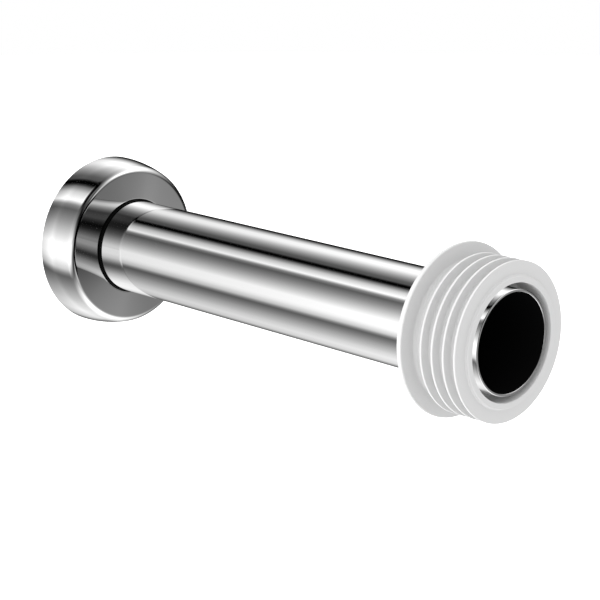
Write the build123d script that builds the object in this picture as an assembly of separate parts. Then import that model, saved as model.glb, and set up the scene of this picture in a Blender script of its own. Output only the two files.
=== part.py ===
from build123d import *
import os
from math import sqrt

os.makedirs("parts", exist_ok=True)

# A chromed flush tube that joins a toilet pan to the flush outlet in the wall. A pressed wall flange
# slides on it over a rubber ring, and a lipped rubber connector on its free end seals in the pan's inlet.
# Millimetres. +X runs along the tube from the wall to the pan, +Z is up, and the origin is on the
# tube's axis in the plane of the finished wall. Every piece is turned about the X axis.

# The tube
tube_diameter = 38.1
tube_wall = 0.95
tube_length = 240.0
wall_insertion = 19.5
outlet_edge_round = 0.3
bore_edge_round = 0.2
lead_in_length = 1.2
lead_in_depth = 0.5
mark_width = 0.8
mark_depth = 0.25

# The wall flange, one deep cup pressed from sheet
flange_diameter = 70.6
flange_depth = 17.6
flange_face_drop = 1.2
flange_sheet = 0.9
flange_crown_radius = 50.0
flange_shoulder_round = 3.0
flange_hole_clearance = 0.45
flange_hole_round = 0.4

# The rubber ring in the flange's hole
ring_running_clearance = 0.05
ring_seat_clearance = 0.04
ring_proud = 1.2
ring_heel_reach = 3.0
ring_heel_thickness = 2.6
ring_groove_width = 1.0
ring_groove_depth = 0.5
ring_outer_round = 0.18
ring_bore_round = 0.08

# The rubber pan connector
connector_length = 26.2
mouth_overhang = 0.3
sleeve_gap = 2.35
sleeve_wall = 3.6
collar_reach = 6.95
collar_thickness = 3.0
collar_back_bevel = 2.1
collar_back_drop = 1.25
collar_front_round = 0.45
collar_root_round = 1.2
lip_count = 4
lip_reach = 4.0
lip_thickness = 0.95
lip_pitch = 5.05
lip_edge_round = 0.25
lip_root_round = 0.8
nose_length = 1.25
nose_inset = 1.3
nose_edge_round = 0.5
nose_root_round = 0.6
mouth_edge_round = 0.25
grip_land_length = 2.2
grip_rib_count = 3
grip_rib_pitch = 4.4
grip_rib_tip = 1.0
grip_rib_base = 2.6
grip_rib_setback = 3.2

# What the sizes above give
tube_radius = tube_diameter / 2
tube_bore_radius = tube_radius - tube_wall
tube_rear = -wall_insertion
tube_front = tube_length - wall_insertion
flange_hole_radius = tube_radius + flange_hole_clearance
flange_inner_crown_radius = flange_crown_radius - flange_sheet
crown_centre = flange_diameter / 2 - flange_crown_radius
back_of_face = flange_depth - flange_sheet
mouth_station = tube_front + mouth_overhang
connector_rear = mouth_station - connector_length
mouth_radius = tube_radius + sleeve_gap
body_radius = mouth_radius + sleeve_wall
collar_radius = body_radius + collar_reach
lip_radius = body_radius + lip_reach
nose_radius = body_radius - nose_inset


def turned(outline):
    """The solid of revolution of an outline whose X is the place along the tube and whose Y is the radius."""
    return revolve(Plane.XZ * outline, axis=Axis.X, revolution_arc=360)


def rounded(outline, corners):
    """The outline with each corner, given as (place, radius), rounded off."""
    for place, radius in corners:
        corner = outline.vertices().sort_by_distance(place)[0]
        outline = fillet(corner, radius)
    return outline


def crown_point(radius, station):
    """The point of the flange's side at that place along the tube, for a crown of that radius."""
    return (station, crown_centre + sqrt(radius**2 - station**2))


def flush_tube():
    """Drawn tube with a bevelled inlet end, a fine turned mark at the wall plane and a rounded outlet edge."""
    outline = make_face(
        Polyline(
            (tube_rear, tube_bore_radius),
            (tube_front, tube_bore_radius),
            (tube_front, tube_radius),
            (mark_width, tube_radius),
            (mark_width, tube_radius - mark_depth),
            (0, tube_radius - mark_depth),
            (0, tube_radius),
            (tube_rear + lead_in_length, tube_radius),
            (tube_rear, tube_radius - lead_in_depth),
            close=True,
        )
    )
    corners = [
        ((tube_front, tube_radius), outlet_edge_round),
        ((tube_front, tube_bore_radius), bore_edge_round),
    ]
    return turned(rounded(outline, corners))


def wall_flange():
    """Pressed cup: a crowned side, a rounded shoulder, a slightly coned face and a hole with a rounded edge."""
    rim_radius = flange_diameter / 2
    outer_shoulder = crown_point(flange_crown_radius, flange_depth - flange_face_drop)
    inner_shoulder = crown_point(flange_inner_crown_radius, back_of_face - flange_face_drop)
    outline = make_face(
        ThreePointArc(
            (0, rim_radius),
            crown_point(flange_crown_radius, flange_depth / 2),
            outer_shoulder,
        )
        + Polyline(
            outer_shoulder,
            (flange_depth, flange_hole_radius),
            (back_of_face, flange_hole_radius),
            inner_shoulder,
        )
        + ThreePointArc(
            inner_shoulder,
            crown_point(flange_inner_crown_radius, flange_depth / 2),
            (0, rim_radius - flange_sheet),
        )
        + Line((0, rim_radius - flange_sheet), (0, rim_radius))
    )
    corners = [
        (outer_shoulder, flange_shoulder_round),
        (inner_shoulder, flange_shoulder_round - flange_sheet),
        ((flange_depth, flange_hole_radius), flange_hole_round),
    ]
    return turned(rounded(outline, corners))


def flange_grip_ring():
    """Rubber ring: a neck that stands out of the hole, a heel behind the face and a groove in its bore."""
    bore = tube_radius + ring_running_clearance
    neck = flange_hole_radius - ring_seat_clearance
    heel = flange_hole_radius + ring_heel_reach
    inner_shoulder = crown_point(flange_inner_crown_radius, back_of_face - flange_face_drop)
    face_slope = flange_face_drop / (inner_shoulder[1] - flange_hole_radius)
    heel_front = back_of_face - face_slope * ring_heel_reach
    rear = back_of_face - ring_heel_thickness
    groove_middle = (rear + back_of_face) / 2
    front = flange_depth + ring_proud
    outline = make_face(
        Polyline(
            (rear, bore),
            (groove_middle - ring_groove_width / 2, bore),
            (groove_middle - ring_groove_width / 2, bore + ring_groove_depth),
            (groove_middle + ring_groove_width / 2, bore + ring_groove_depth),
            (groove_middle + ring_groove_width / 2, bore),
            (front, bore),
            (front, neck),
            (back_of_face, neck),
            (heel_front, heel),
            (rear, heel),
            close=True,
        )
    )
    corners = [
        ((front, neck), ring_outer_round),
        ((front, bore), ring_bore_round),
    ]
    return turned(rounded(outline, corners))


def region(rear, front, inner, outer):
    """A rectangle of an outline: its span along the tube and its inner and outer radius."""
    return make_face(Polyline((rear, inner), (front, inner), (front, outer), (rear, outer), close=True))


def collar_region(collar_face):
    """The collar's section, bevelled on its back."""
    return make_face(
        Polyline(
            (connector_rear, mouth_radius),
            (collar_face, mouth_radius),
            (collar_face, collar_radius),
            (connector_rear + collar_back_bevel, collar_radius),
            (connector_rear, collar_radius - collar_back_drop),
            close=True,
        )
    )


def grip_rib_region(middle):
    """An inner rib's section: wide where it leaves the bore, narrow where it meets the tube."""
    root = mouth_radius + sleeve_wall / 2
    return make_face(
        Polyline(
            (middle - grip_rib_base / 2, root),
            (middle - grip_rib_base / 2, mouth_radius),
            (middle - grip_rib_tip / 2, tube_radius),
            (middle + grip_rib_tip / 2, tube_radius),
            (middle + grip_rib_base / 2, mouth_radius),
            (middle + grip_rib_base / 2, root),
            close=True,
        )
    )


def pan_connector():
    """Moulded rubber connector: collar, body, lips, nose ring, and a land and ribs that grip the tube."""
    collar_face = connector_rear + collar_thickness
    front_face = mouth_station - nose_length
    lip_fronts = [front_face - i * lip_pitch for i in range(lip_count)]
    rib_middles = [collar_face + grip_rib_setback + i * grip_rib_pitch for i in range(grip_rib_count)]

    outline = collar_region(collar_face)
    outline += region(connector_rear, connector_rear + grip_land_length, tube_radius, body_radius)
    outline += region(connector_rear, front_face, mouth_radius, body_radius)
    outline += region(connector_rear, mouth_station, mouth_radius, nose_radius)
    for front in lip_fronts:
        outline += region(front - lip_thickness, front, nose_radius, lip_radius)
    for middle in rib_middles:
        outline += grip_rib_region(middle)

    corners = [
        ((collar_face, collar_radius), collar_front_round),
        ((collar_face, body_radius), collar_root_round),
        ((front_face, nose_radius), nose_root_round),
        ((mouth_station, nose_radius), nose_edge_round),
        ((mouth_station, mouth_radius), mouth_edge_round),
    ]
    for front in lip_fronts:
        rear = front - lip_thickness
        corners += [((front, lip_radius), lip_edge_round), ((rear, lip_radius), lip_edge_round)]
        corners += [((rear, body_radius), lip_root_round)]
        if front < front_face:
            corners += [((front, body_radius), lip_root_round)]
    return turned(rounded(outline, corners))


export_step(flush_tube(), "parts/flush_tube.step")
export_step(wall_flange(), "parts/wall_flange.step")
export_step(flange_grip_ring(), "parts/flange_grip_ring.step")
export_step(pan_connector(), "parts/pan_connector.step")
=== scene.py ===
# %% [markdown]
# # A chromed flush tube with a lipped rubber connector
#
# The object is a straight chromed tube that carries the flush water from the wall to a toilet pan. A round
# pressed cup, the wall flange, hides the hole in the wall. It grips the tube through a black rubber ring
# and slides along it. A white rubber connector with four thin lips sits on the free end and seals in the
# pan.
#
# Every piece is turned about one line, the tube's axis, which is the X axis of the frame. So each piece is
# drawn here as half of its section and spun once round that line.
#
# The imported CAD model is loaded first. It fixes where everything is, and the pieces below stand for its
# nodes. Sizes of the object are in millimetres here, and Blender's are in metres.

# %% Load the frame
import math

import bmesh
import bpy
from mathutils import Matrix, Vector


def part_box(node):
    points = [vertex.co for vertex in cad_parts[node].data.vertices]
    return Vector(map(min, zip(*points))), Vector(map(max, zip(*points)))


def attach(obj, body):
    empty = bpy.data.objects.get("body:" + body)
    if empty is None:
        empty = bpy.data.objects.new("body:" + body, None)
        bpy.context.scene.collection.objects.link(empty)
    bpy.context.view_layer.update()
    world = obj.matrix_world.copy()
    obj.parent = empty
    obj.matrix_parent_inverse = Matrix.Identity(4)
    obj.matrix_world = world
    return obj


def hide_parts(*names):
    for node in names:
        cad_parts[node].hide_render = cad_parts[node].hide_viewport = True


MM = 0.001

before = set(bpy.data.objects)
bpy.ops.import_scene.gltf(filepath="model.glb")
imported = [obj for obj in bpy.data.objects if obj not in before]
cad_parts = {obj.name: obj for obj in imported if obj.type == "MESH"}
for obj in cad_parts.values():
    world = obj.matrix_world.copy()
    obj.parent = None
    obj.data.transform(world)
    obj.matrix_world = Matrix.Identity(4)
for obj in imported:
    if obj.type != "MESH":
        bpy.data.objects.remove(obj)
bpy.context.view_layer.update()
print("nodes:", sorted(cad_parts))

# %% [markdown]
# ## The camera
#
# The camera looks down on the free end of the tube from the front and the right, with a long lens, so the
# tube grows only a little towards us. Its place is a point and two angles. A camera could also be aimed
# with a Track To constraint, but angles keep it easy to read and leave nothing that moves it later.

# %% Camera
CAMERA_PLACE = (0.61208, -0.48968, 0.18440)
CAMERA_AZIMUTH = math.radians(45.36)
CAMERA_ELEVATION = math.radians(15.18)
CAMERA_LENS_MM = 112.7
CAMERA_SENSOR_MM = 36.0

camera_data = bpy.data.cameras.new("camera")
camera_data.sensor_width = CAMERA_SENSOR_MM
camera_data.lens = CAMERA_LENS_MM
camera = bpy.data.objects.new("camera", camera_data)
camera.location = CAMERA_PLACE
camera.rotation_euler = (math.radians(90.0) - CAMERA_ELEVATION, 0.0, CAMERA_AZIMUTH)
bpy.context.scene.collection.objects.link(camera)
bpy.context.scene.camera = camera
bpy.context.scene.view_settings.view_transform = "Standard"
print("camera at", CAMERA_PLACE, "with a lens of", CAMERA_LENS_MM, "mm")

# %% [markdown]
# ## Shader maths in Python
#
# A material or a studio light is a graph of nodes. Sums in such a graph get hard to read when each one is
# added by hand, so one small class wraps a socket and overloads the operators: writing `1 - mask` adds the
# Math node. Every other node comes from one method that sets its options first and its sockets after them.


# %% Sums on sockets
class Value:
    """What a socket gives. Where that is a number, it can be used in sums."""

    def __init__(self, graph, socket):
        self.graph = graph
        self.socket = socket

    def __add__(self, other):
        return self.graph.maths("ADD", self, other)

    def __radd__(self, other):
        return self.graph.maths("ADD", other, self)

    def __sub__(self, other):
        return self.graph.maths("SUBTRACT", self, other)

    def __rsub__(self, other):
        return self.graph.maths("SUBTRACT", other, self)

    def __mul__(self, other):
        return self.graph.maths("MULTIPLY", self, other)

    def __rmul__(self, other):
        return self.graph.maths("MULTIPLY", other, self)

    def __truediv__(self, other):
        return self.graph.maths("DIVIDE", self, other)

    def __pow__(self, other):
        return self.graph.maths("POWER", self, other)


def blend(factor, first, second):
    """The first number where the factor is 0 and the second where it is 1."""
    return first + (second - first) * factor


print("sums on sockets are ready")


# %% Graphs of nodes
def plain_grey(level):
    """A colour without hue."""
    return (level, level, level, 1.0)


def set_stops(ramp, stops):
    """Gives a colour ramp its stops, each a place from 0 to 1 and a grey."""
    while len(ramp.elements) < len(stops):
        ramp.elements.new(1.0)
    for element, (place, grey) in zip(ramp.elements, stops):
        element.position = place
        element.color = plain_grey(grey)


class Graph:
    """Adds nodes to the node tree of one material or of the world."""

    def __init__(self, tree):
        self.tree = tree
        tree.nodes.clear()

    def feed(self, socket, value):
        """Links a Value to a socket, or sets the socket to a plain number or colour."""
        if isinstance(value, Value):
            self.tree.links.new(value.socket, socket)
        else:
            socket.default_value = value

    def node(self, kind, settings=None, inputs=None, stops=None):
        """Adds a node: its settings and a ramp's stops first, then its sockets."""
        node = self.tree.nodes.new(kind)
        for name, value in (settings or {}).items():
            setattr(node, name, value)
        if stops:
            set_stops(node.color_ramp, stops)
        for name, value in (inputs or {}).items():
            self.feed(node.inputs[name], value)
        return node

    def value(self, kind, output, settings=None, inputs=None, stops=None):
        """The same, but gives one output of the new node as a Value."""
        node = self.node(kind, settings, inputs, stops)
        return Value(self, node.outputs[output])

    def maths(self, operation, *operands):
        """Adds a Math node. Each operand is a Value or a plain number."""
        return self.value("ShaderNodeMath", 0, {"operation": operation}, dict(enumerate(operands)))

    def principled(self, inputs):
        """Ends a material's graph with one Principled shader."""
        surface = self.value("ShaderNodeBsdfPrincipled", "BSDF", inputs=inputs)
        self.node("ShaderNodeOutputMaterial", inputs={"Surface": surface})


def new_material(name):
    """A material with an empty graph."""
    material = bpy.data.materials.new(name)
    material.use_nodes = True
    return material, Graph(material.node_tree)


print("node helpers are ready")

# %% [markdown]
# ## The studio's strip lights
#
# Polished chrome has no colour of its own: it shows the room. The photograph's bright and dark bands all
# run along the tube, and the side of the flange repeats them, so the studio is a set of long strip lights
# that lie parallel to the tube, with dark gaps between them. Area lights could do this too. A world whose
# brightness depends on the angle round the tube's axis is simpler, because a mirror sees it the same from
# every place, and the soft edges of the strips are only stops on a ramp.
#
# Each stop is an angle round the axis, in degrees from the far side of the tube upwards, and how bright it
# is. The tube mirrors the wall's end of the room and the flange's flat face mirrors the pan's end, and the
# two ends aren't alike: the narrow strip overhead stops short, with a black flag in front of it. So there
# are three ramps, for the wall's end, the middle and the pan's end.

# %% Strips at the wall's end
WALL_END = [
    (-180, 0.99),
    (-166, 0.99),
    (-160, 0.945),  # the wide strip beside the camera ends here
    (-150, 0.775),
    (-144, 0.48),
    (-140, 0.36),  # gap
    (-118, 0.62),
    (-98, 0.80),
    (-82, 0.87),  # low strip under the camera
    (-62, 0.78),
    (-50, 0.53),
    (-43, 0.37),  # gap
    (-28, 0.42),  # narrow strip under the far side
    (-12, 0.30),
    (0, 0.08),  # gap
    (6, 0.09),
    (12, 0.31),
    (28, 0.76),
    (39, 0.96),
    (49, 0.965),  # high strip over the far side
    (56, 0.885),
    (84, 0.34),
    (90, 0.30),
    (95, 0.02),  # the black gap overhead
    (98, 0.02),
    (104, 0.43),
    (112, 0.77),
    (124, 1.00),  # narrow strip overhead
    (130, 0.50),
    (136, 0.345),  # gap
    (150, 0.53),
    (180, 0.99),  # the wide strip beside the camera starts here
]
print("strips at the wall's end:", len(WALL_END), "stops")

# %% Strips in the middle
MIDDLE = [
    (-180, 0.95),
    (-158, 0.92),
    (-144, 0.45),
    (-138, 0.38),  # gap
    (-118, 0.72),
    (-100, 0.95),
    (-62, 0.97),  # low strip under the camera
    (-50, 0.83),
    (-43, 0.64),
    (-34, 0.41),
    (-18, 0.42),
    (-1, 0.08),  # gap
    (4, 0.16),
    (12, 0.42),
    (20, 0.64),
    (32, 0.95),
    (50, 0.95),  # high strip over the far side
    (64, 0.71),
    (76, 0.46),
    (87, 0.28),
    (94, 0.0),  # black flag
    (119, 0.0),
    (132, 0.25),
    (150, 0.50),
    (176, 0.93),
]
print("strips in the middle:", len(MIDDLE), "stops")

# %% Strips at the pan's end
PAN_END = [
    (-180, 0.79),
    (-168, 0.81),  # the wide strip beside the camera, dimmer at this end
    (-152, 0.555),
    (-140, 0.28),
    (-134, 0.28),  # gap
    (-112, 0.665),
    (-88, 0.905),
    (-72, 0.905),  # low strip under the camera
    (-56, 0.76),
    (-40, 0.52),
    (-30, 0.36),
    (-14, 0.56),
    (-3, 0.40),
    (4, 0.37),  # gap
    (12, 0.53),
    (28, 0.78),
    (40, 1.0),  # high strip over the far side
    (50, 1.0),
    (72, 0.545),
    (84, 0.315),
    (97, 0.37),
    (106, 0.385),
    (118, 0.235),
    (130, 0.09),  # black flag
    (144, 0.20),
    (160, 0.49),
    (172, 0.70),
]
print("strips at the pan's end:", len(PAN_END), "stops")

# %% [markdown]
# ## The studio as a world
#
# A world's Generated coordinate is the direction in which a ray leaves. Its two parts across the tube give
# the angle round the axis, which every ramp reads, and its part along the tube blends the three ramps. That
# part also drives a fourth ramp, which makes the room a little brighter or dimmer along its length.

# %% Strips round the axis
MIDDLE_BEGINS = (-0.08, 0.30)
PAN_END_BEGINS = (0.50, 0.74)

world = bpy.data.worlds.new("studio")
bpy.context.scene.world = world
world.use_nodes = True
studio = Graph(world.node_tree)
direction = studio.value("ShaderNodeTexCoord", "Generated")
parts = studio.node("ShaderNodeSeparateXYZ", inputs={"Vector": direction})
toward_pan, toward_far_side, upward = [Value(studio, output) for output in parts.outputs]
turn = studio.maths("ARCTAN2", upward, toward_far_side) / math.tau + 0.5


def ramp(place, stops):
    """A ramp read at a place from 0 to 1. Its colours are greys, so sums can use them as numbers."""
    return studio.value("ShaderNodeValToRGB", "Color", inputs={"Fac": place}, stops=stops)


def strips(stops):
    """A ramp of strip lights round the tube's axis."""
    return ramp(turn, [(degrees / 360 + 0.5, grey) for degrees, grey in stops])


def rise(value, low, high):
    """A number that goes from 0 to 1 as the value goes from low to high."""
    return studio.value(
        "ShaderNodeMapRange", "Result", inputs={"Value": value, "From Min": low, "From Max": high}
    )


before_pan_end = blend(rise(toward_pan, *MIDDLE_BEGINS), strips(WALL_END), strips(MIDDLE))
strip = blend(rise(toward_pan, *PAN_END_BEGINS), before_pan_end, strips(PAN_END))
print("the middle begins at", MIDDLE_BEGINS, "and the pan's end at", PAN_END_BEGINS)

# %% Light along the room
# Each stop is the part of the direction that points toward the pan, and how much stronger the strips are.
# The ramp holds that as a share of ALONG_TOP, so its greys stay under 1 like the other ramps'.
ALONG = [
    (-1.00, 0.90),
    (-0.76, 0.90),
    (-0.70, 0.975),
    (-0.61, 1.10),
    (-0.54, 1.04),
    (-0.36, 1.05),
    (-0.20, 1.12),
    (0.50, 1.12),
    (0.72, 1.23),
    (0.80, 1.05),
    (0.86, 0.80),
    (1.00, 0.80),
]
ALONG_TOP = 2.0


def on_ramp(part):
    """The place on a ramp, from 0 to 1, of a number from -1 to 1."""
    return part * 0.5 + 0.5


along_stops = [(on_ramp(part), strength / ALONG_TOP) for part, strength in ALONG]
along = ramp(on_ramp(toward_pan), along_stops) * ALONG_TOP
print("light along the room:", len(ALONG), "stops")

# %% [markdown]
# ## The black flag and the gap
#
# Straight in front hangs one more black flag, an oval that leans. The flange's rounded shoulder shows it as
# a thin black line. Inside the oval the sum of two squares is under 1, as in the formula of an ellipse.
#
# The gap between the tube and the rubber sleeve gets little of the strips, so light that has left a matt
# surface before it meets the chrome finds them dimmed.
#
# The stops say how bright a strip looks on a display, and its power turns that into light. The chrome
# reflects about two thirds of the light, and the strips are stronger by as much. So a part that is seen in
# one mirror is as bright as its ramp says, and a part that is seen in two is darker.

# %% Black flag
FLAG_ASIDE = 0.08
FLAG_ABOVE = -0.04
FLAG_LEAN = math.radians(-24.0)
FLAG_HALF_LENGTH = 0.43
FLAG_HALF_WIDTH = 0.28
FLAG_EDGE = (0.85, 1.05)
FLAG_BEGINS = (0.6, 0.7)

aside = toward_far_side - FLAG_ASIDE
above = upward - FLAG_ABOVE
lengthways = (math.cos(FLAG_LEAN) * aside + math.sin(FLAG_LEAN) * above) / FLAG_HALF_LENGTH
across = (math.cos(FLAG_LEAN) * above - math.sin(FLAG_LEAN) * aside) / FLAG_HALF_WIDTH
outside = rise(lengthways * lengthways + across * across, *FLAG_EDGE)
beside_flag = blend(rise(toward_pan, *FLAG_BEGINS), 1.0, outside)
print("black flag of", 2 * FLAG_HALF_LENGTH, "by", 2 * FLAG_HALF_WIDTH)

# %% Strip light
DISPLAY_POWER = 2.2
CHROME_GREY = 0.66
SHADE_IN_GAP = 0.25

left_matt = rise(studio.value("ShaderNodeLightPath", "Diffuse Depth"), 0.0, 1.0)
shade = blend(left_matt, 1.0, SHADE_IN_GAP)
strip_light = (strip * along * beside_flag) ** DISPLAY_POWER / CHROME_GREY * shade
print("a strip of grey 1 gives light of", round(1.0 / CHROME_GREY, 2))

# %% [markdown]
# ## Soft light and backdrop
#
# White rubber needs no strips. Rays that leave a matt surface see a plain soft light instead. It grows from
# the pan's end to the wall's end and is a little stronger from below, so the faces that look at the pan are
# greyer than the rims. It is dim behind the far side, toward the wall, so that the back of the rubber is pale
# grey like its front and doesn't melt into the backdrop. The camera itself sees plain white.

# %% Soft light
SOFT_LEVEL = 1.78
SOFT_FALL_TOWARD_PAN = 0.99
SOFT_FALL_UPWARD = 0.21
SOFT_RISE_TOWARD_FAR_SIDE = 0.08
BEHIND_FAR_SIDE = 0.6
BEHIND_WALL = 0.8
BEHIND_EDGE = (0.50, 0.80)
SOFT_BEHIND = 0.10

soft_light = SOFT_LEVEL - SOFT_FALL_TOWARD_PAN * toward_pan - SOFT_FALL_UPWARD * upward
soft_light = soft_light + SOFT_RISE_TOWARD_FAR_SIDE * toward_far_side
behind = BEHIND_FAR_SIDE * toward_far_side - BEHIND_WALL * toward_pan
soft_light = soft_light * blend(rise(behind, *BEHIND_EDGE), 1.0, SOFT_BEHIND)
print("soft light from", SOFT_LEVEL - SOFT_FALL_TOWARD_PAN, "to", SOFT_LEVEL + SOFT_FALL_TOWARD_PAN)


# %% What each ray sees
def background(colour):
    """Light of one colour from a direction."""
    return studio.value("ShaderNodeBackground", "Background", inputs={"Color": colour})


def where(ray, no, yes):
    """The second shader for the rays that the Light Path node calls so, and the first for all others."""
    factor = studio.value("ShaderNodeLightPath", ray)
    return studio.value("ShaderNodeMixShader", "Shader", inputs={0: factor, 1: no, 2: yes})


lit = where("Is Glossy Ray", background(soft_light), background(strip_light))
seen = where("Is Camera Ray", lit, background(plain_grey(1.0)))
studio.node("ShaderNodeOutputWorld", inputs={"Surface": seen})
print("the world has", len(world.node_tree.nodes), "nodes")

# %% [markdown]
# ## The floor
#
# The tube is held by its wall end, so it hangs in the air well above the floor. The floor is a wide pale
# disc whose rim turns up like a tray's, so no edge of it shows. It glows faintly, as a light table does,
# and mirrors don't see it.

# %% Floor
FLOOR_HEIGHT = -1.0
FLOOR_RADIUS = 8.0
FLOOR_CORNERS = 64
RIM_STEPS = 2
RIM_STEP_WIDTH = 1.0
RIM_STEP_DEPTH = -0.5
FLOOR_GREY = 0.9
FLOOR_ROUGHNESS = 0.9
FLOOR_GLOW = 0.6

bpy.ops.object.select_all(action="DESELECT")
bpy.ops.mesh.primitive_circle_add(
    vertices=FLOOR_CORNERS, radius=FLOOR_RADIUS, fill_type="NGON", location=(0.0, 0.0, FLOOR_HEIGHT)
)
floor = bpy.context.object
floor.name = "floor"
bpy.ops.object.mode_set(mode="EDIT")
bpy.ops.mesh.select_all(action="SELECT")
for _ in range(RIM_STEPS):
    bpy.ops.mesh.inset(thickness=RIM_STEP_WIDTH, depth=RIM_STEP_DEPTH)
bpy.ops.object.mode_set(mode="OBJECT")
bpy.ops.object.shade_smooth()
floor.visible_glossy = False
floor.visible_diffuse = False

floor_material, graph = new_material("pale floor")
graph.principled(
    {
        "Base Color": plain_grey(FLOOR_GREY),
        "Roughness": FLOOR_ROUGHNESS,
        "Emission Color": plain_grey(1.0),
        "Emission Strength": FLOOR_GLOW,
    }
)
floor.data.materials.append(floor_material)
print("floor", -FLOOR_HEIGHT, "m below the tube's axis")

# %% [markdown]
# ## Polished chrome
#
# The tube is drawn brass, polished and then plated. It is a mirror, but not a perfect one: polishing leaves
# a faint haze that differs from place to place. A metallic Principled shader with a light grey colour gives
# the mirror, and a soft noise on Object coordinates varies its roughness, stretched round the tube as the
# polishing belt ran. The plating doesn't reach into the bore, which is matt. Its colour is painted nearly
# black, as painted shade for the dark inside of the tube.

# %% Chrome material
CHROME_ROUGHNESS = (0.02, 0.05)


def noise(graph, scale, detail, stretch=(1.0, 1.0, 1.0)):
    """Noise on Object coordinates, which a Mapping node can stretch."""
    place = graph.value("ShaderNodeTexCoord", "Object")
    mapped = graph.value("ShaderNodeMapping", "Vector", inputs={"Vector": place, "Scale": stretch})
    return graph.value(
        "ShaderNodeTexNoise", "Fac", inputs={"Vector": mapped, "Scale": scale, "Detail": detail}
    )


chrome, graph = new_material("polished chrome")
haze = noise(graph, scale=60.0, detail=3.0, stretch=(6.0, 1.0, 1.0))
graph.principled(
    {
        "Base Color": plain_grey(CHROME_GREY),
        "Metallic": 1.0,
        "Roughness": blend(haze, *CHROME_ROUGHNESS),
    }
)
print("made", chrome.name)

# %% Bore material, its near-black colour painted shade
# The bore's near-black grey is painted shade for the dark inside of the tube, not the colour of bare brass.
BORE_PAINTED_SHADE_GREY = 0.004
BORE_ROUGHNESS = (0.8, 1.0)

bore_painted_shade, graph = new_material("unplated bore, painted dark as shade")
stain = noise(graph, scale=40.0, detail=4.0)
graph.principled(
    {
        "Base Color": plain_grey(BORE_PAINTED_SHADE_GREY),
        "Specular IOR Level": 0.0,
        "Roughness": blend(stain, *BORE_ROUGHNESS),
    }
)
print("made", bore_painted_shade.name)

# %% [markdown]
# ## Rubber
#
# The connector is moulded in white rubber with a satin skin, and the grip ring in black. Neither is quite
# even: the mould gives the skin a very fine grain, and handling leaves patches a little shinier than
# others. A fine noise drives a weak bump, and a broad one the roughness.

# %% Rubber materials
GRAIN_DEPTH = 0.01 * MM
PATCH_SPREAD = 0.06


def rubber(name, grey, roughness, shine):
    """A matt material with a fine moulded grain and a slightly uneven gloss."""
    material, graph = new_material(name)
    grain = noise(graph, scale=2500.0, detail=2.0)
    patches = noise(graph, scale=90.0, detail=2.0)
    bump = graph.value("ShaderNodeBump", "Normal", inputs={"Height": grain, "Distance": GRAIN_DEPTH})
    graph.principled(
        {
            "Base Color": plain_grey(grey),
            "Roughness": blend(patches, roughness - PATCH_SPREAD, roughness + PATCH_SPREAD),
            "Specular IOR Level": shine,
            "Normal": bump,
        }
    )
    return material


white_rubber = rubber("white rubber", grey=0.65, roughness=0.55, shine=0.25)
black_rubber = rubber("black rubber", grey=0.003, roughness=0.45, shine=0.02)
print("made", white_rubber.name, "and", black_rubber.name)

# %% [markdown]
# ## Drawing and turning a section
#
# A turned piece could start as a cylinder that is extruded and scaled ring by ring. With rounded lips and
# roots that means dozens of scalings, and every radius is hidden in a factor. Here a single point is moved
# along the section instead: it is extruded straight or spun along an arc, corners are rounded with the
# vertex bevel, and the closed section is spun once round the X axis. Each place is a pair: how far along
# the tube, and how far from its axis, both in millimetres.

# %% Section tools
SAME_PLACE = 0.01
MERGE_DISTANCE = 0.001
SMOOTH_UNDER = math.radians(35.0)


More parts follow.
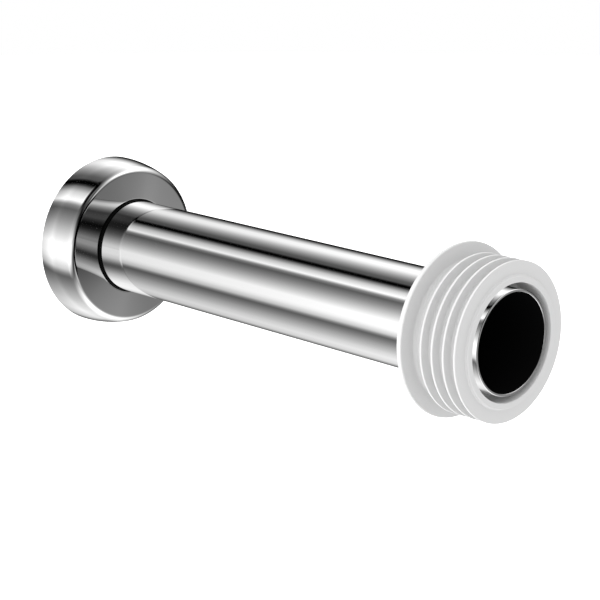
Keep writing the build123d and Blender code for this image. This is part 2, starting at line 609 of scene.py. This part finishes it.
class Section:
    """Half of a turned piece's section, drawn in edit mode."""

    def __init__(self, name, start):
        bpy.ops.object.select_all(action="DESELECT")
        bpy.ops.mesh.primitive_plane_add(size=MM)
        self.piece = bpy.context.object
        self.piece.name = name
        self.piece.data.name = name
        bpy.ops.object.mode_set(mode="EDIT")
        bpy.ops.mesh.select_all(action="SELECT")
        bpy.ops.mesh.merge(type="CENTER")
        bpy.ops.transform.translate(value=(start[0] * MM, 0.0, start[1] * MM))
        self.start = start
        self.place = start

    def line(self, *places):
        """Extrudes the last point to each place in turn."""
        for place in places:
            step = ((place[0] - self.place[0]) * MM, 0.0, (place[1] - self.place[1]) * MM)
            bpy.ops.mesh.extrude_region_move(TRANSFORM_OT_translate={"value": step})
            self.place = place

    def arc(self, centre, degrees, steps):
        """Spins the last point about a centre, towards +X over the top where the angle is positive."""
        angle = math.radians(degrees)
        bpy.ops.mesh.spin(
            steps=steps, angle=angle, center=(centre[0] * MM, 0.0, centre[1] * MM), axis=(0.0, -1.0, 0.0)
        )
        x = self.place[0] - centre[0]
        r = self.place[1] - centre[1]
        self.place = (
            centre[0] + x * math.cos(angle) + r * math.sin(angle),
            centre[1] + r * math.cos(angle) - x * math.sin(angle),
        )

    def select(self, places):
        """Selects the points at these places and nothing else, and gives how many there are."""
        mesh = bmesh.from_edit_mesh(self.piece.data)
        targets = [Vector((x * MM, 0.0, r * MM)) for x, r in places]
        for edge in mesh.edges:
            edge.select = False
        for point in mesh.verts:
            point.select = any((point.co - target).length < SAME_PLACE * MM for target in targets)
        bmesh.update_edit_mesh(self.piece.data)
        return sum(point.select for point in mesh.verts)

    def close(self):
        """Joins the last point to the first."""
        count = self.select([self.start, self.place])
        bpy.ops.mesh.edge_face_add()
        print(self.piece.name, "closed from", count, "points")

    def round(self, radius, places, segments=6):
        """Rounds square corners with a vertex bevel."""
        count = self.select(places)
        bpy.ops.mesh.bevel(offset=radius * MM, offset_type="OFFSET", segments=segments, affect="VERTICES")
        print(self.piece.name, "rounded", count, "of", len(places), "corners to", radius, "mm")

    def turn(self, steps=256):
        """Spins the section round the X axis, merges doubled points and shades the piece smooth."""
        bpy.ops.mesh.select_all(action="SELECT")
        bpy.ops.mesh.spin(steps=steps, angle=math.tau, center=(0.0, 0.0, 0.0), axis=(1.0, 0.0, 0.0))
        bpy.ops.mesh.select_all(action="SELECT")
        bpy.ops.mesh.remove_doubles(threshold=MERGE_DISTANCE * MM)
        bpy.ops.mesh.normals_make_consistent(inside=False)
        bpy.ops.object.mode_set(mode="OBJECT")
        bpy.ops.object.shade_smooth_by_angle(angle=SMOOTH_UNDER)
        print(self.piece.name, "has", len(self.piece.data.polygons), "faces")
        return self.piece


print("section tools are ready")


# %% Joining a piece to the frame
def finish_piece(piece, node, body, slot, *materials):
    """Puts a finished piece in the place of its CAD node, on that node's body."""
    for material in materials:
        piece.data.materials.append(material)
    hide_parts(node)
    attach(piece, body)


# %% [markdown]
# ## The tube
#
# The tube is drawn, cut to length, bevelled at the end that goes into the wall and rounded at the free end.
# A fine mark is turned into it where it should meet the wall. Its length and diameter come from the CAD
# node's box, and the wall's thickness and the small radii are set here.
#
# Smooth shading spreads from a rounded edge over the long faces beside it. A holding line, which is one
# more point of the section close to the edge, stops that. The bore's faces are found by their distance from
# the axis and get the unplated bore's material, whose near-black colour is painted shade.

# %% Tube
tube_low, tube_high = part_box("flush_tube")
TUBE_REAR = tube_low[0] / MM
TUBE_FRONT = tube_high[0] / MM
TUBE_RADIUS = tube_high[2] / MM
TUBE_WALL = 0.95
BORE_RADIUS = TUBE_RADIUS - TUBE_WALL
BORE_MARGIN = 0.02
LEAD_IN = 1.2
LEAD_IN_DEPTH = 0.5
MARK_WIDTH = 0.8
MARK_DEPTH = 0.25
OUTLET_ROUND = 0.3
BORE_ROUND = 0.2
OUTLET_HOLDING_LINE = 1.0

section = Section("chromed_tube", (TUBE_REAR, BORE_RADIUS))
section.line(
    (TUBE_FRONT - OUTLET_HOLDING_LINE, BORE_RADIUS),
    (TUBE_FRONT, BORE_RADIUS),
    (TUBE_FRONT, TUBE_RADIUS),
    (TUBE_FRONT - OUTLET_HOLDING_LINE, TUBE_RADIUS),
    (MARK_WIDTH, TUBE_RADIUS),
    (MARK_WIDTH, TUBE_RADIUS - MARK_DEPTH),
    (0.0, TUBE_RADIUS - MARK_DEPTH),
    (0.0, TUBE_RADIUS),
    (TUBE_REAR + LEAD_IN, TUBE_RADIUS),
    (TUBE_REAR, TUBE_RADIUS - LEAD_IN_DEPTH),
)
section.close()
section.round(OUTLET_ROUND, [(TUBE_FRONT, TUBE_RADIUS)])
section.round(BORE_ROUND, [(TUBE_FRONT, BORE_RADIUS)])
tube = section.turn()
finish_piece(tube, "flush_tube", "tube", "polished_chrome", chrome, bore_painted_shade)
# The bore's faces get the material whose near-black colour is painted shade.
for face in tube.data.polygons:
    radius = math.hypot(face.center.y, face.center.z) / MM
    face.material_index = int(radius < BORE_RADIUS + BORE_MARGIN)
print("tube", round(TUBE_FRONT - TUBE_REAR, 1), "mm long and", round(2 * TUBE_RADIUS, 1), "mm across")

# %% [markdown]
# ## The wall flange
#
# The flange is one deep cup pressed from sheet. Its side is a gentle crown that starts square to the wall,
# which is why the bands on it spread. A shoulder of a few millimetres leads into the face, and the hole for
# the tube has a small rounded edge. The face isn't quite flat: it rises a little towards the hole, which
# makes the tube's mirror image in it slimmer than the tube. The crown, the shoulder and the face meet
# tangent to each other, so no crease shows in the mirror finish.
#
# The face's line would meet the crown in a corner, and its slope follows from that corner. The shoulder's
# arc lies inside the corner: its centre is one shoulder radius from the crown and from the face.

# %% Flange geometry
flange_low, flange_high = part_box("wall_flange")
FLANGE_RADIUS = flange_high[2] / MM
FLANGE_DEPTH = 17.6
FACE_DROP = 1.2
SHEET = 0.9
CROWN_RADIUS = 50.0
SHOULDER_RADIUS = 3.0
HOLE_CLEARANCE = 0.45
HOLE_RADIUS = TUBE_RADIUS + HOLE_CLEARANCE

crown_centre = (0.0, FLANGE_RADIUS - CROWN_RADIUS)
corner_radius = crown_centre[1] + math.sqrt(CROWN_RADIUS**2 - (FLANGE_DEPTH - FACE_DROP) ** 2)
lean = math.atan(FACE_DROP / (corner_radius - HOLE_RADIUS))
face_height = FLANGE_DEPTH * math.cos(lean) + (HOLE_RADIUS - crown_centre[1]) * math.sin(lean)
shoulder_reach = CROWN_RADIUS - SHOULDER_RADIUS
crown_angle = math.asin((face_height - SHOULDER_RADIUS) / shoulder_reach) - lean
shoulder_centre = (
    shoulder_reach * math.sin(crown_angle),
    crown_centre[1] + shoulder_reach * math.cos(crown_angle),
)
crown_turn = math.degrees(crown_angle)
shoulder_turn = 90.0 - math.degrees(lean) - crown_turn
print("the crown turns by", round(crown_turn, 1), "degrees and the shoulder by", round(shoulder_turn, 1))

# %% Wall flange
HOLE_ROUND = 0.4
FACE_HOLDING_LINE = 0.4


def on_face(radius, depth=0.0):
    """The place on the face at that distance from the axis, or that deep behind it."""
    return (FLANGE_DEPTH - (radius - HOLE_RADIUS) * math.tan(lean) - depth / math.cos(lean), radius)


shoulder_end = shoulder_centre[1] + SHOULDER_RADIUS * math.sin(lean)
back_shoulder_end = shoulder_centre[1] + (SHOULDER_RADIUS - SHEET) * math.sin(lean)
section = Section("chromed_flange", (0.0, FLANGE_RADIUS))
section.arc(crown_centre, crown_turn, steps=28)
section.arc(shoulder_centre, shoulder_turn, steps=24)
section.line(
    on_face(shoulder_end - FACE_HOLDING_LINE),
    on_face(HOLE_RADIUS + HOLE_ROUND + FACE_HOLDING_LINE),
    on_face(HOLE_RADIUS),
    on_face(HOLE_RADIUS, SHEET),
    on_face(back_shoulder_end, SHEET),
)
section.arc(shoulder_centre, -shoulder_turn, steps=12)
section.arc(crown_centre, -crown_turn, steps=14)
section.close()
section.round(HOLE_ROUND, [(FLANGE_DEPTH, HOLE_RADIUS)], segments=8)
flange = section.turn(steps=320)
finish_piece(flange, "wall_flange", "flange", "polished_chrome", chrome)
print("flange", round(2 * FLANGE_RADIUS, 1), "mm across and", FLANGE_DEPTH, "mm deep")

# %% [markdown]
# ## The grip ring
#
# A black rubber ring lines the flange's hole and grips the tube. Its neck stands a little out of the hole,
# as a dark line round the tube. Behind the face it has a heel that stops it from being pulled through.

# %% Grip ring
ring_low, ring_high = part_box("flange_grip_ring")
RING_REAR = ring_low[0] / MM
RING_FRONT = ring_high[0] / MM
HEEL_RADIUS = ring_high[2] / MM
RUNNING_CLEARANCE = 0.05
SEAT_CLEARANCE = 0.04
HEEL_CLEARANCE = 0.01
RING_BORE = TUBE_RADIUS + RUNNING_CLEARANCE
NECK_RADIUS = HOLE_RADIUS - SEAT_CLEARANCE
GROOVE_WIDTH = 1.0
GROOVE_DEPTH = 0.5
RING_OUTER_ROUND = 0.18
RING_BORE_ROUND = 0.08

back_of_face = FLANGE_DEPTH - SHEET
heel_front = on_face(HEEL_RADIUS, SHEET)[0] - HEEL_CLEARANCE
groove_middle = (RING_REAR + back_of_face) / 2
section = Section("grip_ring", (RING_REAR, RING_BORE))
section.line(
    (groove_middle - GROOVE_WIDTH / 2, RING_BORE),
    (groove_middle - GROOVE_WIDTH / 2, RING_BORE + GROOVE_DEPTH),
    (groove_middle + GROOVE_WIDTH / 2, RING_BORE + GROOVE_DEPTH),
    (groove_middle + GROOVE_WIDTH / 2, RING_BORE),
    (RING_FRONT, RING_BORE),
    (RING_FRONT, NECK_RADIUS),
    (back_of_face, NECK_RADIUS),
    (heel_front, HEEL_RADIUS),
    (RING_REAR, HEEL_RADIUS),
)
section.close()
section.round(RING_OUTER_ROUND, [(RING_FRONT, NECK_RADIUS)])
section.round(RING_BORE_ROUND, [(RING_FRONT, RING_BORE)], segments=4)
ring = section.turn(steps=192)
finish_piece(ring, "flange_grip_ring", "flange", "black_rubber", black_rubber)
print("ring stands", round(RING_FRONT - FLANGE_DEPTH, 1), "mm out of the flange")

# %% [markdown]
# ## The pan connector
#
# This is the moulding that makes the seal. From the wall side it has a thick collar that stops on the pan,
# four thin lips that fold back in the pan's inlet, and a low nose ring round the mouth. Inside, a land and
# three ribs grip the tube and leave a gap behind the mouth. All of that is one section: it is drawn once
# round, with the lips and the ribs as loops, and its square corners are rounded afterwards, sharp at the
# lips' rims and soft at their roots. In the photograph the chrome inside the mouth still shows the strip
# lights, so mirrors are told not to see the rubber.

# %% Connector sizes
connector_low, connector_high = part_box("pan_connector")
COLLAR_REAR = connector_low[0] / MM
MOUTH = connector_high[0] / MM
COLLAR_RADIUS = connector_high[2] / MM
SLEEVE_GAP = 2.35
SLEEVE_WALL = 3.6
LIP_REACH = 4.0
NOSE_INSET = 1.3
COLLAR_THICKNESS = 3.0
COLLAR_BEVEL = 2.1
COLLAR_DROP = 1.25
MOUTH_RADIUS = TUBE_RADIUS + SLEEVE_GAP
BODY_RADIUS = MOUTH_RADIUS + SLEEVE_WALL
LIP_RADIUS = BODY_RADIUS + LIP_REACH
NOSE_RADIUS = BODY_RADIUS - NOSE_INSET
COLLAR_FACE = COLLAR_REAR + COLLAR_THICKNESS
print("collar", round(2 * COLLAR_RADIUS, 1), "mm across and lips", round(2 * LIP_RADIUS, 1), "mm")

# %% Lips and ribs
NOSE_LENGTH = 1.25
LIP_COUNT = 4
LIP_PITCH = 5.05
LIP_THICKNESS = 0.95
LAND_LENGTH = 2.2
RIB_COUNT = 3
RIB_PITCH = 4.4
RIB_SETBACK = 3.2
RIB_TIP = 1.0
RIB_BASE = 2.6

front_face = MOUTH - NOSE_LENGTH
land_front = COLLAR_REAR + LAND_LENGTH
lip_fronts = [front_face - number * LIP_PITCH for number in reversed(range(LIP_COUNT))]
lip_rears = [front - LIP_THICKNESS for front in lip_fronts]
rib_middles = [COLLAR_FACE + RIB_SETBACK + number * RIB_PITCH for number in reversed(range(RIB_COUNT))]
print("lips end at", [round(front, 2) for front in lip_fronts], "mm")

# %% Pan connector
LIP_EDGE_ROUND = 0.25
LIP_ROOT_ROUND = 0.8
COLLAR_FRONT_ROUND = 0.45
COLLAR_ROOT_ROUND = 1.2
NOSE_ROOT_ROUND = 0.6
NOSE_EDGE_ROUND = 0.5
MOUTH_EDGE_ROUND = 0.25

section = Section("rubber_connector", (COLLAR_REAR, TUBE_RADIUS))
section.line(
    (COLLAR_REAR, COLLAR_RADIUS - COLLAR_DROP),
    (COLLAR_REAR + COLLAR_BEVEL, COLLAR_RADIUS),
    (COLLAR_FACE, COLLAR_RADIUS),
    (COLLAR_FACE, BODY_RADIUS),
)
for rear, front in zip(lip_rears, lip_fronts):
    section.line((rear, BODY_RADIUS), (rear, LIP_RADIUS), (front, LIP_RADIUS))
    root = BODY_RADIUS if front < front_face else NOSE_RADIUS
    section.line((front, root))
section.line((MOUTH, NOSE_RADIUS), (MOUTH, MOUTH_RADIUS))
for middle in rib_middles:
    section.line(
        (middle + RIB_BASE / 2, MOUTH_RADIUS),
        (middle + RIB_TIP / 2, TUBE_RADIUS),
        (middle - RIB_TIP / 2, TUBE_RADIUS),
        (middle - RIB_BASE / 2, MOUTH_RADIUS),
    )
section.line((land_front, MOUTH_RADIUS), (land_front, TUBE_RADIUS))
section.close()

rims = [(x, LIP_RADIUS) for x in lip_rears + lip_fronts]
roots = [(x, BODY_RADIUS) for x in lip_rears + lip_fronts[:-1]]
section.round(LIP_EDGE_ROUND, rims)
section.round(LIP_ROOT_ROUND, roots, segments=8)
section.round(COLLAR_FRONT_ROUND, [(COLLAR_FACE, COLLAR_RADIUS)])
section.round(COLLAR_ROOT_ROUND, [(COLLAR_FACE, BODY_RADIUS)], segments=8)
section.round(NOSE_ROOT_ROUND, [(front_face, NOSE_RADIUS)], segments=8)
section.round(NOSE_EDGE_ROUND, [(MOUTH, NOSE_RADIUS)], segments=8)
section.round(MOUTH_EDGE_ROUND, [(MOUTH, MOUTH_RADIUS)])
connector = section.turn()
finish_piece(connector, "pan_connector", "tube", "white_rubber", white_rubber)
connector.visible_glossy = False
print("connector with", LIP_COUNT, "lips,", round(MOUTH - COLLAR_REAR, 1), "mm long")
